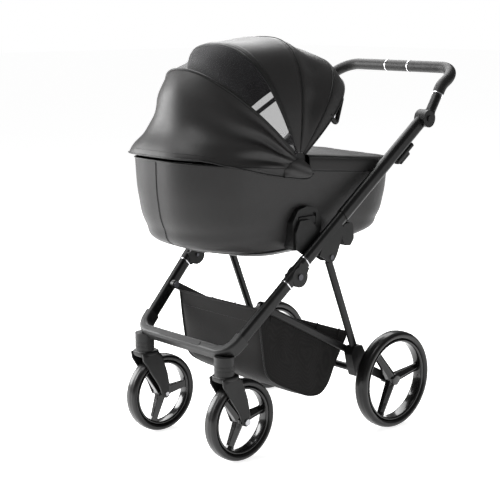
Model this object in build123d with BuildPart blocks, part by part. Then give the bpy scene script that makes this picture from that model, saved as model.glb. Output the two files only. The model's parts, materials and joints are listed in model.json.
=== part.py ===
from build123d import *
import os
from math import atan2, cos, degrees, radians, sin, sqrt

# Baby stroller with a carrycot on a folding chassis.
# Millimetres. +Z up, the stroller travels towards -Y, and +X is its left side.
# Origin: on the floor, at the centre of the whole object's outline in plan.
os.makedirs("parts", exist_ok=True)
SIDES = (("left", 1), ("right", -1))

# --- driving dimensions ------------------------------------------------------------------------
REAR_R, REAR_W, REAR_X, REAR_Y = 150.0, 45.0, 273.0, 185.0        # rear wheel and its centre
FRONT_R, FRONT_W, FRONT_X, FRONT_Y = 119.0, 42.0, 181.0, -361.0   # front wheel and its centre
SWIVEL_Y = -418.0                         # vertical axis of the front caster
HINGE = (-183.0, 516.0)                   # main fold hinge, as (y, z)
LEG_TOP = (-55.0, 557.0)                  # rear leg pivot on the upper frame
LEG_FOOT = (71.0, 246.0)                  # strut pivot at the rear axle bracket
STRUT_TOP = (-290.0, 441.0)               # strut pivot on the lower front tube
LOWER_RING = (227.0, -225.0, 496.0)       # silver ring at the top of the lower tube
UPPER_RING = (229.0, -152.0, 557.0)       # silver ring at the bottom of the upper tube
BAR_CORNER = (195.0, -415.0, 320.0)       # corner of the front crossbar
TILT = (352.0, 936.0)                     # handle tilt joint, as (y, z)
TUBE_W, TUBE_D, TUBE_WALL = 24.0, 38.0, 2.0
HANDLE_Y, HANDLE_Z = 498.0, 1084.0        # centre line of the handle's crossbar
HANDLE_X, HANDLE_R = 246.0, 15.0
LEG_X, LEG_R = 222.0, 11.0
STRUT_X, STRUT_W, STRUT_D = 194.5, 13.0, 22.0
PIN_R = 4.0                               # pins of the legs and struts
FIT = 0.05                                # radial running clearance of every pin
GAP = 0.5                                 # gap between faces that slide past each other

# carrycot: rim outline, and its height at the head (front) and foot (rear) ends
COT_A, COT_Y0, COT_Y1, COT_CORNER = 205.0, -509.0, 320.0, 166.0
RIM_HEAD, RIM_FOOT = 854.0, 776.0
COT_WALL = 9.0
HOOD_Y, HOOD_Z = -145.0, 842.0            # the hood's side pivots
CLOTH = 3.0                               # thickness of the hood's sheets


def unit(a, b):
    d = [q - p for p, q in zip(a, b)]
    n = sqrt(sum(c * c for c in d))
    return tuple(c / n for c in d), n


def along(a, b, s):
    """The point a distance s from a towards b."""
    d, _ = unit(a, b)
    return tuple(p + c * s for p, c in zip(a, d))


def cross_plane(a, b, s=0.0):
    """A plane across the line from a to b, a distance s along it, with its x towards +X."""
    d, _ = unit(a, b)
    return Plane(origin=along(a, b, s), x_dir=(1, 0, 0), z_dir=d)


def side_plane(x):
    """A plane facing +X at x, whose local axes are the part's Y and Z."""
    return Plane(origin=(x, 0, 0), x_dir=(0, 1, 0), z_dir=(1, 0, 0))


def slab(x0, x1):
    """The lower of two X faces, and the distance between them."""
    return min(x0, x1), abs(x1 - x0)


def disc(s, x0, x1, y, z, r, mode=Mode.ADD):
    """A round boss or bore along X, between two distances from the middle of the part."""
    low, depth = slab(s * x0, s * x1)
    with BuildSketch(side_plane(low)) as round_face:
        with Locations((y, z)):
            Circle(r)
    extrude(round_face.sketch, amount=depth, mode=mode)


def plate(s, x0, x1, points, r=0.0, mode=Mode.ADD):
    """A flat plate facing X, with the outline's corners rounded to r."""
    low, depth = slab(s * x0, s * x1)
    with BuildSketch(side_plane(low)) as outline:
        with BuildLine():
            Polyline(*points, close=True)
        make_face()
        if r:
            fillet(outline.vertices(), r)
    extrude(outline.sketch, amount=depth, mode=mode)


def oval(width, depth):
    """An oval tube's section, in the sketch that is open."""
    RectangleRounded(width, depth, width / 2 - 0.4)


def oval_tube(a, b, width=TUBE_W, depth=TUBE_D, wall=TUBE_WALL, start=0.0, stop=0.0):
    """A straight oval tube from a to b, cut short by start and stop."""
    _, length = unit(a, b)
    with BuildSketch(cross_plane(a, b, start)) as section:
        oval(width, depth)
        if wall:
            RectangleRounded(width - 2 * wall, depth - 2 * wall, width / 2 - wall - 0.4, mode=Mode.SUBTRACT)
    extrude(section.sketch, amount=length - start - stop)


def web(s, x0, x1, a, b, half):
    """A flat web facing X from a to b, as (y, z) points, of the given half width."""
    (dy, dz), _ = unit(a, b)
    ny, nz = -dz * half, dy * half
    corners = [(a[0] + ny, a[1] + nz), (a[0] - ny, a[1] - nz), (b[0] - ny, b[1] - nz), (b[0] + ny, b[1] + nz)]
    plate(s, x0, x1, corners)


def save(piece, label):
    piece.part.label = label
    export_step(piece.part, f"parts/{label}.step")


def bar_corner(s):
    return (s * BAR_CORNER[0], *BAR_CORNER[1:])


def lower_ring_at(s):
    return (s * LOWER_RING[0], *LOWER_RING[1:])


def tube_start(s):
    return (s * UPPER_RING[0], *UPPER_RING[1:])


def tube_end(s):
    return (s * UPPER_RING[0], *TILT)


def pin_at(s, y, z, r, x0, x1, head_r=0.0, head=0.0):
    """A pin along X with an outer head."""
    disc(s, x0, x1, y, z, r)
    if head:
        disc(s, x1, x1 + head, y, z, head_r)


# --- front frame -------------------------------------------------------------------------------
SOCKET_END = 62.0            # the casting's socket reaches this far up the lower tube
BAR_W, BAR_H = 44.0, 30.0
HOUSING_R, HOUSING_TOP, HOUSING_FOOT = 29.0, 338.0, 258.0
STEM_R = 7.0
LOBE_R, LOBE_IN, LOBE_MID, LOBE_OUT = 30.0, 214.5, 228.0, 242.0

with BuildPart() as front_crossbar:
    with BuildLine() as bar_path:
        tips = [along(bar_corner(s), lower_ring_at(s), SOCKET_END) for _, s in SIDES]
        FilletPolyline(tips[0], bar_corner(1), bar_corner(-1), tips[1], radius=46)
    with BuildSketch(Plane(origin=bar_path.line @ 0, x_dir=(1, 0, 0), z_dir=bar_path.line % 0)):
        RectangleRounded(BAR_H, BAR_W, 10)
    sweep(path=bar_path.line)
    for _, s in SIDES:
        with BuildSketch(Plane.XY.offset(HOUSING_FOOT)):
            with Locations((s * FRONT_X, SWIVEL_Y)):
                Circle(HOUSING_R)
        extrude(amount=HOUSING_TOP - HOUSING_FOOT - 22)
        for groove in (18, 30):
            with BuildSketch(Plane.XY.offset(HOUSING_FOOT + groove)):
                with Locations((s * FRONT_X, SWIVEL_Y)):
                    Circle(HOUSING_R + 1)
                    Circle(HOUSING_R - 1, mode=Mode.SUBTRACT)
            extrude(amount=1.6, mode=Mode.SUBTRACT)
        with Locations(Location((s * FRONT_X, SWIVEL_Y, HOUSING_FOOT))):
            Cylinder(STEM_R + FIT, 62, align=(Align.CENTER, Align.CENTER, Align.MIN), mode=Mode.SUBTRACT)
        socket = along(bar_corner(s), lower_ring_at(s), SOCKET_END)
        with BuildSketch(cross_plane(socket, bar_corner(s), -0.01)):
            oval(TUBE_W + 0.1, TUBE_D + 0.1)
        extrude(amount=34, mode=Mode.SUBTRACT)
save(front_crossbar, "front_crossbar")

# the bar's upper face leans forward with the lower tubes, and carries a plain inlay
lean = atan2(LOWER_RING[2] - BAR_CORNER[2], LOWER_RING[1] - BAR_CORNER[1])
face_normal = (0, -sin(lean), cos(lean))
face_centre = [c + n * (BAR_W / 2 + 0.05) for c, n in zip((0, *BAR_CORNER[1:]), face_normal)]
with BuildPart() as front_bar_inlay:
    with BuildSketch(Plane(origin=tuple(face_centre), x_dir=(1, 0, 0), z_dir=face_normal)):
        RectangleRounded(180, 16, 5)
    extrude(amount=1.2)
save(front_bar_inlay, "front_bar_inlay")

with BuildPart() as lower_tubes:
    for _, s in SIDES:
        oval_tube(bar_corner(s), lower_ring_at(s), start=SOCKET_END - 33.5)
        disc(s, 180, 222, *STRUT_TOP, PIN_R + 0.02, mode=Mode.SUBTRACT)
save(lower_tubes, "lower_tubes")

with BuildPart() as lower_rings:
    for _, s in SIDES:
        with BuildSketch(cross_plane(lower_ring_at(s), bar_corner(s), -3.6)):
            oval(TUBE_W + 3, TUBE_D + 3)
        extrude(amount=3.5)
save(lower_rings, "lower_rings")

# lower halves of the fold hinge: castings on the tubes, each with a round lobe on its inner side
with BuildPart() as hinge_lower:
    for _, s in SIDES:
        a, b = bar_corner(s), lower_ring_at(s)
        with BuildSketch(cross_plane(a, b, unit(a, b)[1] + 3.7)):
            oval(TUBE_W + 2, TUBE_D + 2)
        extrude(amount=46)
        disc(s, 200, 260, *HINGE, LOBE_R + 1.0, mode=Mode.SUBTRACT)
        disc(s, LOBE_IN, LOBE_MID - GAP / 2, *HINGE, LOBE_R)
        web(s, LOBE_IN, LOBE_MID - GAP / 2, (-214, 506), HINGE, 20)
        disc(s, 200, 260, *HINGE, 5 + FIT, mode=Mode.SUBTRACT)
save(hinge_lower, "hinge_lower")

# --- upper frame (the root body) ---------------------------------------------------------------
COLLAR_S = 190.0                          # distance from the upper ring to the sleeve's collar
TILT_GAP = 34.0

with BuildPart() as upper_tubes:
    for _, s in SIDES:
        a, b = tube_start(s), tube_end(s)
        oval_tube(a, b, stop=unit(a, b)[1] - COLLAR_S - 60)
save(upper_tubes, "upper_tubes")

with BuildPart() as upper_sleeves:
    for _, s in SIDES:
        oval_tube(tube_start(s), tube_end(s), TUBE_W + 4.2, TUBE_D + 4.2, 2.0, start=COLLAR_S, stop=TILT_GAP)
save(upper_sleeves, "upper_sleeves")

with BuildPart() as upper_rings:
    for _, s in SIDES:
        with BuildSketch(cross_plane(tube_start(s), tube_end(s), -3.6)):
            oval(TUBE_W + 3, TUBE_D + 3)
        extrude(amount=3.5)
save(upper_rings, "upper_rings")

# upper halves of the fold hinge, with their lobes on the outer side
with BuildPart() as hinge_upper:
    for _, s in SIDES:
        with BuildSketch(cross_plane(tube_start(s), tube_end(s), -46)):
            oval(TUBE_W + 2, TUBE_D + 2)
        extrude(amount=42.3)
        disc(s, 200, 260, *HINGE, LOBE_R + 1.0, mode=Mode.SUBTRACT)
        disc(s, LOBE_MID + GAP / 2, LOBE_OUT, *HINGE, LOBE_R)
        web(s, LOBE_MID + GAP / 2, LOBE_OUT, (-164, 548), HINGE, 20)
        disc(s, 200, 260, *HINGE, 5.02, mode=Mode.SUBTRACT)
save(hinge_upper, "hinge_upper")

# leg brackets hang under the upper tubes, one cheek on each side of the rear leg's eye
EYE_R = 15.0
CHEEK_IN, CHEEK_OUT, CHEEK = 208.0, 236.0, 5.0
CHEEK_POINTS = [(-104, 568), (-92, 596), (-50, 622), (-14, 650),
                (-2, 634), (-34, 560), (-44, 545), (-66, 545)]

with BuildPart() as leg_brackets:
    for _, s in SIDES:
        for x0, x1 in ((CHEEK_IN - CHEEK, CHEEK_IN), (CHEEK_OUT, CHEEK_OUT + CHEEK)):
            plate(s, x0, x1, CHEEK_POINTS)
            disc(s, x0, x1, *LEG_TOP, EYE_R)
        plate(s, CHEEK_IN - 1, CHEEK_OUT + 1, [(-104, 568), (-92, 588), (-76, 600), (-80, 576)])
        with BuildSketch(cross_plane(tube_start(s), tube_end(s))):
            oval(TUBE_W + 0.1, TUBE_D + 0.1)
        extrude(amount=300, mode=Mode.SUBTRACT)
        disc(s, 190, 260, *LEG_TOP, PIN_R + 0.02, mode=Mode.SUBTRACT)
save(leg_brackets, "leg_brackets")

# carrycot adapters: a foot on the inside of each upper tube, with a tongue that stands up
ADAPT_IN, ADAPT_OUT = 209.5, 216.9
PEG, PEG_R, PEG_IN = (-124.0, 632.0), 9.0, 197.0
for side, s in SIDES:
    with BuildPart() as adapter:
        tongue = [(-146, 572), (-172, 590), (-176, 640), (-160, 672), (-120, 672), (-74, 626)]
        plate(s, ADAPT_IN, ADAPT_OUT, tongue, 5)
        disc(s, PEG_IN, ADAPT_IN + 1, *PEG, PEG_R)
    save(adapter, f"adapter_{side}")

# --- handle tilt joint bases, on the ends of the upper tubes -----------------------------------
DISC_R, DISC_IN, DISC_MID, DISC_OUT = 27.0, 224.0, 237.0, 255.0
with BuildPart() as tilt_bases:
    for _, s in SIDES:
        with BuildSketch(cross_plane(tube_end(s), tube_start(s))):
            oval(TUBE_W + 4, TUBE_D + 4)
        extrude(amount=TILT_GAP - 0.1)
        with BuildSketch(cross_plane(tube_end(s), tube_start(s))):
            oval(TUBE_W - 0.2, TUBE_D - 0.2)
        extrude(amount=TILT_GAP + 40)
        disc(s, DISC_MID, DISC_OUT + 4, *TILT, DISC_R + 1.5, mode=Mode.SUBTRACT)
        disc(s, DISC_IN - 8, DISC_MID - GAP / 2, *TILT, DISC_R)
        disc(s, 200, 260, *TILT, 6 + FIT, mode=Mode.SUBTRACT)
save(tilt_bases, "tilt_bases")

# bolts of the fold hinge, the rear legs and the handle's tilt joints
with BuildPart() as pivot_bolts:
    for _, s in SIDES:
        pin_at(s, *HINGE, 5.0, LOBE_IN - 4, LOBE_OUT + 0.05, 9, 3)
        pin_at(s, *LEG_TOP, PIN_R, CHEEK_IN - CHEEK - 1, CHEEK_OUT + CHEEK + 0.05, 7, 2.5)
        disc(s, DISC_IN - 8, DISC_MID - 0.3, *TILT, 6)
save(pivot_bolts, "pivot_bolts")

# fold levers slide along the underside of the sleeves
LEVER_S = 500.0
for side, s in SIDES:
    step = -1 if cross_plane(tube_start(s), tube_end(s)).y_dir.Z > 0 else 1
    below = step * (TUBE_D / 2 + 2.1 + GAP)
    with BuildPart() as fold_lever:
        with BuildSketch(cross_plane(tube_start(s), tube_end(s), LEVER_S - 42)):
            with Locations((0, below + 7 * step)):
                RectangleRounded(20, 14, 5)
        extrude(amount=84)
        with BuildSketch(cross_plane(tube_start(s), tube_end(s), LEVER_S - 30)):
            with Locations((0, below + 16 * step)):
                RectangleRounded(18, 18, 6)
        extrude(amount=44)
    save(fold_lever, f"fold_lever_{side}")

# --- handle ------------------------------------------------------------------------------------
ARM_KNEE = (HANDLE_X, 414.0, 1034.0)
ARM_FOOT = (HANDLE_X, 366.0, 958.0)
GRIP_R, RING_R, RING_T = 18.0, 19.0, 3.0
with BuildPart() as handle_bar:
    with BuildLine() as handle_path:
        FilletPolyline(
            ARM_FOOT, ARM_KNEE, (HANDLE_X, HANDLE_Y, HANDLE_Z), (-HANDLE_X, HANDLE_Y, HANDLE_Z),
            (-HANDLE_X, *ARM_KNEE[1:]), (-HANDLE_X, *ARM_FOOT[1:]), radius=(60, 72, 72, 60))
    with BuildSketch(Plane(origin=handle_path.line @ 0, z_dir=handle_path.line % 0)):
        Circle(HANDLE_R)
    sweep(path=handle_path.line)
    for _, s in SIDES:
        disc(s, DISC_MID + GAP / 2, DISC_OUT, *TILT, DISC_R)
        web(s, DISC_MID + GAP / 2, DISC_OUT, TILT, ARM_FOOT[1:], 14)
        disc(s, DISC_IN - 10, DISC_MID + GAP / 2, *TILT, DISC_R + 1, mode=Mode.SUBTRACT)
        disc(s, DISC_IN, 270, *TILT, 10, mode=Mode.SUBTRACT)
save(handle_bar, "handle_bar")

CORE = HANDLE_R + 0.15
RING_S = 57.0                            # the end rings stand this far up the handle's arms
grip_foot = along(ARM_FOOT, ARM_KNEE, RING_S + RING_T + 0.1)
with BuildPart() as handle_grip:
    with BuildLine() as grip_path:
        FilletPolyline(
            grip_foot, ARM_KNEE, (HANDLE_X, HANDLE_Y, HANDLE_Z), (-HANDLE_X, HANDLE_Y, HANDLE_Z),
            (-HANDLE_X, *ARM_KNEE[1:]), (-HANDLE_X, *grip_foot[1:]), radius=(60, 72, 72, 60))
    with BuildSketch(Plane(origin=grip_path.line @ 0, z_dir=grip_path.line % 0)):
        Circle(GRIP_R)
        Circle(CORE, mode=Mode.SUBTRACT)
    sweep(path=grip_path.line)
save(handle_grip, "handle_grip")

# rings at the ends of the grip, and two more round its middle
with BuildPart() as handle_rings:
    for _, s in SIDES:
        foot_at = (s * ARM_FOOT[0], *ARM_FOOT[1:])
        knee_at = (s * ARM_KNEE[0], *ARM_KNEE[1:])
        with BuildSketch(cross_plane(foot_at, knee_at, RING_S)):
            Circle(RING_R)
            Circle(CORE, mode=Mode.SUBTRACT)
        extrude(amount=RING_T)
        with BuildSketch(Plane(origin=(s * 47, HANDLE_Y, HANDLE_Z), z_dir=(1, 0, 0))):
            Circle(GRIP_R + 0.9)
            Circle(GRIP_R + 0.05, mode=Mode.SUBTRACT)
        extrude(amount=RING_T / 2, both=True)
save(handle_rings, "handle_rings")

# a tilt button sits in the middle of each joint disc
for side, s in SIDES:
    with BuildPart() as tilt_button:
        disc(s, DISC_MID + 3, DISC_OUT + 4, *TILT, 9.9)
    save(tilt_button, f"tilt_button_{side}")

# --- rear frame: legs, axle brackets and crossbar ----------------------------------------------
CROSSBAR_Y, CROSSBAR_Z, CROSSBAR_R = 75.0, 192.0, 11.0
ARM_PIVOT = (98.0, 196.0)
ARM_IN, ARM_OUT = 238.5, 248.0
BRACKET_POINTS = [(52, 268), (40, 246), (52, 200), (62, 172), (96, 172), (124, 196), (112, 222), (86, 268)]


def leg_line(s):
    return (s * LEG_X, *LEG_TOP), (s * LEG_X, *LEG_FOOT)


# the legs' tubes, and the eye castings plugged into their tops
with BuildPart() as rear_legs:
    for _, s in SIDES:
        oval_tube(*leg_line(s), 18, 24, 2.0, start=16, stop=26)
save(rear_legs, "rear_legs")

with BuildPart() as leg_eyes:
    for _, s in SIDES:
        disc(s, CHEEK_IN + GAP, CHEEK_OUT - GAP, *LEG_TOP, EYE_R - 1)
        with BuildSketch(cross_plane(*leg_line(s), 8)):
            oval(13.8, 19.8)
        extrude(amount=34)
        disc(s, 190, 260, *LEG_TOP, PIN_R + FIT, mode=Mode.SUBTRACT)
save(leg_eyes, "leg_eyes")

with BuildPart() as axle_brackets:
    for _, s in SIDES:
        top, foot = leg_line(s)
        plate(s, 206, 237, BRACKET_POINTS, 7)
        with BuildSketch(cross_plane(foot, top, -5)):
            oval(18.1, 24.1)
        extrude(amount=60, mode=Mode.SUBTRACT)
        disc(s, 150, 250, CROSSBAR_Y, CROSSBAR_Z, CROSSBAR_R + 0.02, mode=Mode.SUBTRACT)
        disc(s, 200, 250, *ARM_PIVOT, 5.02, mode=Mode.SUBTRACT)
save(axle_brackets, "axle_brackets")

with BuildPart() as rear_crossbar:
    with BuildSketch(Plane(origin=(-236, CROSSBAR_Y, CROSSBAR_Z), z_dir=(1, 0, 0))):
        Circle(CROSSBAR_R)
        Circle(CROSSBAR_R - 2, mode=Mode.SUBTRACT)
    extrude(amount=472)
save(rear_crossbar, "rear_crossbar")

with BuildPart() as arm_pins:
    for _, s in SIDES:
        pin_at(s, *ARM_PIVOT, 5.0, 224, ARM_OUT + 0.05, 8, 1.6)
save(arm_pins, "arm_pins")

# --- rear swing arms with their stub axles, and the wheels -------------------------------------
AXLE_R = 6.0
SPOKE_TURN = 7.0                          # the first spoke points rearwards and up by this angle
for side, s in SIDES:
    with BuildPart() as swing_arm:
        disc(s, ARM_IN, ARM_OUT, *ARM_PIVOT, 17)
        disc(s, ARM_IN, ARM_OUT, REAR_Y, REAR_R, 17)
        web(s, ARM_IN, ARM_OUT, ARM_PIVOT, (REAR_Y, REAR_R), 13)
        disc(s, ARM_OUT - 1, 252.5, REAR_Y, REAR_R, 11)
        disc(s, 252, 280, REAR_Y, REAR_R, AXLE_R)
        disc(s, 200, 260, *ARM_PIVOT, 5.0 + FIT, mode=Mode.SUBTRACT)
    save(swing_arm, f"swing_arm_{side}")


def tyre(x, y, r, width, section):
    """A tyre round an axle along X: a rounded tread on a flat inner band."""
    with BuildSketch(Plane(origin=(x, y, r), x_dir=(1, 0, 0), z_dir=(0, -1, 0))) as profile:
        with Locations((0, r - section / 2)):
            RectangleRounded(width, section, section / 2 - 0.5)
    revolve(profile.sketch, axis=Axis((x, y, r), (1, 0, 0)))


def rim(s, x, y, r, width, section, hub_r, hub_x0, hub_x1, bore):
    """A rim with a dished Y of three spokes and a hub, inside a tyre."""
    outer = r - section
    with BuildSketch(Plane(origin=(x, y, r), x_dir=(1, 0, 0), z_dir=(0, -1, 0))) as profile:
        with Locations((0, outer - 4.1)):
            RectangleRounded(width, 8, 2.5)
    revolve(profile.sketch, axis=Axis((x, y, r), (1, 0, 0)))
    low, depth = slab(hub_x0, hub_x1)
    with BuildSketch(Plane(origin=(low, y, r), x_dir=(0, 1, 0), z_dir=(1, 0, 0))) as hub:
        Circle(hub_r)
    extrude(hub.sketch, amount=depth)
    for turn in (SPOKE_TURN, SPOKE_TURN + 120, SPOKE_TURN + 240):
        with BuildSketch(Plane(origin=(x, y, r), x_dir=(0, 1, 0), z_dir=(1, 0, 0))) as spoke:
            with Locations(Location((0, 0), turn)):
                with Locations(((hub_r + outer) / 2 - 5, 0)):
                    RectangleRounded(outer - hub_r + 6, 22, 4)
        extrude(spoke.sketch, amount=6, both=True)
    with BuildSketch(Plane(origin=(low - 5, y, r), x_dir=(0, 1, 0), z_dir=(1, 0, 0))) as hole:
        Circle(bore)
    extrude(hole.sketch, amount=depth + 10, mode=Mode.SUBTRACT)


for side, s in SIDES:
    with BuildPart() as rear_tyre:
        tyre(s * REAR_X, REAR_Y, REAR_R, REAR_W, 24)
    save(rear_tyre, f"rear_tyre_{side}")
    with BuildPart() as rear_rim:
        rim(s, s * REAR_X, REAR_Y, REAR_R, 34, 24, 17, s * 253.5, s * 284, AXLE_R + FIT)
    save(rear_rim, f"rear_rim_{side}")

# --- brake pedal on the crossbar ---------------------------------------------------------------
with BuildPart() as brake_pedal:
    disc(1, -38, 38, CROSSBAR_Y, CROSSBAR_Z, CROSSBAR_R + 5)
    plate(1, -32, 32, [(80, 206), (140, 204), (146, 198), (140, 194), (84, 192)])
    disc(1, -50, 50, CROSSBAR_Y, CROSSBAR_Z, CROSSBAR_R + FIT, mode=Mode.SUBTRACT)
save(brake_pedal, "brake_pedal")

# --- brace: struts from the front tubes to the rear axle brackets ------------------------------
with BuildPart() as struts:
    for _, s in SIDES:
        a, b = (s * STRUT_X, *STRUT_TOP), (s * STRUT_X, *LEG_FOOT)
        with BuildSketch(cross_plane(a, b)):
            oval(STRUT_W, STRUT_D)
        extrude(amount=unit(a, b)[1])
        for centre in (STRUT_TOP, LEG_FOOT):
            disc(s, STRUT_X - STRUT_W / 2, STRUT_X + STRUT_W / 2, *centre, 13)
        disc(s, 180, 230, *STRUT_TOP, PIN_R + FIT, mode=Mode.SUBTRACT)
save(struts, "struts")

with BuildPart() as strut_pins:
    for _, s in SIDES:
        disc(s, STRUT_X - STRUT_W / 2 - 0.2, 222, *STRUT_TOP, PIN_R)
        disc(s, STRUT_X - STRUT_W / 2 - 4, STRUT_X - STRUT_W / 2 - 0.1, *STRUT_TOP, 10)
save(strut_pins, "strut_pins")

# --- basket: a fabric bag between the struts, open at the top ----------------------------------
BASKET_HALF, BASKET_T = 176.0, 3.0
OUTLINE = [(-284, 424), (85, 296), (30, 210), (-14, 130), (-74, 124), (-140, 158), (-250, 222), (-268, 300)]
INNER = [(-300, 450), (95, 320), (81, 292), (27, 210), (-16, 133), (-74, 127.5), (-139, 161.5), (-247, 224),
         (-265, 300), (-281, 424)]
with BuildPart() as basket:
    plate(1, -BASKET_HALF, BASKET_HALF, OUTLINE)
    plate(1, -BASKET_HALF + BASKET_T, BASKET_HALF - BASKET_T, INNER, mode=Mode.SUBTRACT)
save(basket, "basket")

# --- front casters and wheels ------------------------------------------------------------------
FORK_T, FORK_IN = 9.0, 24.0
for side, s in SIDES:
    with BuildPart() as caster_fork:
        with BuildSketch(Plane.XY.offset(HOUSING_FOOT - 16)):
            with Locations((s * FRONT_X, SWIVEL_Y)):
                Circle(HOUSING_R)
        extrude(amount=15.5)
        with BuildSketch(Plane.XY.offset(HOUSING_FOOT - 2)):
            with Locations((s * FRONT_X, SWIVEL_Y)):
                Circle(STEM_R)
        extrude(amount=58)
        for x0, x1 in ((FORK_IN, FORK_IN + FORK_T), (-FORK_IN - FORK_T, -FORK_IN)):
            leg = [(SWIVEL_Y - 24, 252), (SWIVEL_Y + 26, 254), (FRONT_Y + 4, 222), (FRONT_Y + 17, 119),
                   (FRONT_Y, 102), (FRONT_Y - 17, 119), (FRONT_Y - 34, 214)]
            plate(s, FRONT_X + x0, FRONT_X + x1, leg)
        crown = [(SWIVEL_Y - 24, 252), (SWIVEL_Y + 26, 254), (FRONT_Y - 2, 247), (FRONT_Y - 12, 243),
                 (SWIVEL_Y - 26, 242)]
        plate(s, FRONT_X - FORK_IN - FORK_T, FRONT_X + FORK_IN + FORK_T, crown)
        disc(s, FRONT_X - 50, FRONT_X + 50, FRONT_Y, FRONT_R, AXLE_R + 0.02, mode=Mode.SUBTRACT)
    save(caster_fork, f"caster_fork_{side}")
    with BuildPart() as front_tyre:
        tyre(s * FRONT_X, FRONT_Y, FRONT_R, FRONT_W, 21)
    save(front_tyre, f"front_tyre_{side}")
    with BuildPart() as front_rim:
        hub_in, hub_out = s * (FRONT_X - 21), s * (FRONT_X + 21)
        rim(s, s * FRONT_X, FRONT_Y, FRONT_R, 32, 21, 15, hub_in, hub_out, AXLE_R + FIT)
    save(front_rim, f"front_rim_{side}")
with BuildPart() as front_axle_left:
    disc(1, FRONT_X - FORK_IN - FORK_T - 2, FRONT_X + FORK_IN + FORK_T + 0.1, FRONT_Y, FRONT_R, AXLE_R)
    disc(1, FRONT_X + FORK_IN + FORK_T + 0.05, FRONT_X + FORK_IN + FORK_T + 4, FRONT_Y, FRONT_R, 9)
save(front_axle_left, "front_axle_left")
with BuildPart() as front_axle_right:
    mirror(front_axle_left.part, about=Plane.YZ)
save(front_axle_right, "front_axle_right")

# --- carrycot ----------------------------------------------------------------------------------
COT_MID = (COT_Y0 + COT_Y1) / 2
RIM_SLOPE = degrees(atan2(RIM_HEAD - RIM_FOOT, COT_Y1 - COT_Y0))
SPLIT_Z = 579.0                           # the lower shell is below this height
COT_SHELL = 4.0
# sections from the bottom up: height, half width, half length, corner radius, share of the rim's slope
COT_SECTIONS = [
    (547, 92, 235, 86, 0.0), (564, 143, 305, 128, 0.0), (600, 172, 356, 146, 0.1),
    (650, 184, 388, 152, 0.3), (720, 193, 401, 158, 0.6), (815, 205, 414.5, 166, 1.0)]


def cot_plane(z, share=1.0):
    """A plane through the carrycot's middle at height z, with a share of the rim's slope to the foot."""
    t = radians(RIM_SLOPE * share)
    return Plane(origin=(0, COT_MID, z), x_dir=(1, 0, 0), z_dir=(0, sin(t), cos(t)))


def cot_body(inset, mode=Mode.ADD, lift=0.0, over=0.0):
    """The carrycot's outer form, made smaller all round by inset and longer upwards by over."""
    faces = []
    for k, (z, a, half, corner, share) in enumerate(COT_SECTIONS):
        up = lift * (1 - k / (len(COT_SECTIONS) - 1)) + (over if k == len(COT_SECTIONS) - 1 else 0)
        with BuildSketch(cot_plane(z + up, share)) as section:
            RectangleRounded(2 * (a - inset), 2 * (half - inset), corner - inset)
        faces.append(section.sketch)
    loft(faces, mode=mode)


with BuildPart() as cot_outer:
    cot_body(0)
with BuildPart() as cot_inner:
    cot_body(COT_SHELL, lift=COT_SHELL, over=0.5)

with BuildPart() as carrycot_shell:
    add(cot_outer.part)
    add(cot_inner.part, mode=Mode.SUBTRACT)
    split(bisect_by=Plane.XY.offset(SPLIT_Z), keep=Keep.TOP)
save(carrycot_shell, "carrycot_shell")

with BuildPart() as carrycot_base:
    add(cot_outer.part)
    add(cot_inner.part, mode=Mode.SUBTRACT)
    split(bisect_by=Plane.XY.offset(SPLIT_Z - 0.3), keep=Keep.BOTTOM)
save(carrycot_base, "carrycot_base")

with BuildPart() as mattress:
    with BuildSketch(Plane.XY.offset(SPLIT_Z + 8)):
        with Locations((0, COT_MID)):
            RectangleRounded(2 * 142, 2 * 305, 110)
    extrude(amount=32)
    fillet(mattress.edges().group_by(Axis.Z)[-1], 9)
save(mattress, "mattress")

# the boot cover closes the foot half of the carrycot: a domed lid whose hem laps over the rim
APRON_Y, APRON_HEM, APRON_T, APRON_TOP = -62.0, 6.0, 3.0, 42.0


def lid_form(spread, low, high, edge):
    """A block on the rim's outline, spread all round, with its top edges rounded."""
    with BuildPart() as form:
        with BuildSketch(cot_plane(815).offset(low)):
            RectangleRounded(2 * (COT_A + spread), COT_Y1 - COT_Y0 + 2 * spread, COT_CORNER + spread)
        extrude(amount=high - low)
        fillet(form.edges().group_by(Axis.Z)[-1], edge)
    return form.part


apron_outer = lid_form(4, -APRON_HEM, APRON_TOP, 15)
apron_inner = lid_form(4 - APRON_T, -APRON_HEM - 1, APRON_TOP - APRON_T, 12)
with BuildPart() as apron:
    add(apron_outer)
    add(apron_inner, mode=Mode.SUBTRACT)
    split(bisect_by=Plane(origin=(0, APRON_Y, 0), z_dir=(0, 1, 0)), keep=Keep.TOP)
save(apron, "apron")

# --- adapters' sockets, latches and feet on the carrycot ---------------------------------------
SOCKET_OUT = 208.0
with BuildPart() as cot_sockets:
    for _, s in SIDES:
        arch = [(-180, 586), (-182, 668), (-160, 702), (-124, 710), (-88, 702), (-66, 668), (-66, 586)]
        plate(s, 172, SOCKET_OUT, arch, 12)
    add(cot_outer.part, mode=Mode.SUBTRACT)
    for _, s in SIDES:
        slot_y0, slot_y1 = PEG[0] - PEG_R - 0.6, PEG[0] + PEG_R + 0.6
        plate(s, 160, SOCKET_OUT + 1, [(slot_y0, 570), (slot_y0, 642), (slot_y1, 642), (slot_y1, 570)],
              mode=Mode.SUBTRACT)
        plate(s, SOCKET_OUT - 6, SOCKET_OUT + 1, [(-160, 656), (-160, 690), (-88, 690), (-88, 656)], 6,
              mode=Mode.SUBTRACT)
        # relief beside the inner cheek of the leg bracket
        plate(s, CHEEK_IN - CHEEK - 0.7, SOCKET_OUT + 1, [(-110, 570), (-110, 632), (-60, 632), (-60, 570)],
              mode=Mode.SUBTRACT)
save(cot_sockets, "cot_sockets")

for side, s in SIDES:
    with BuildPart() as release_latch:
        plate(s, SOCKET_OUT - 5.5, SOCKET_OUT, [(-158, 658), (-158, 680), (-90, 680), (-90, 658)], 6)
    save(release_latch, f"release_latch_{side}")

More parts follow.
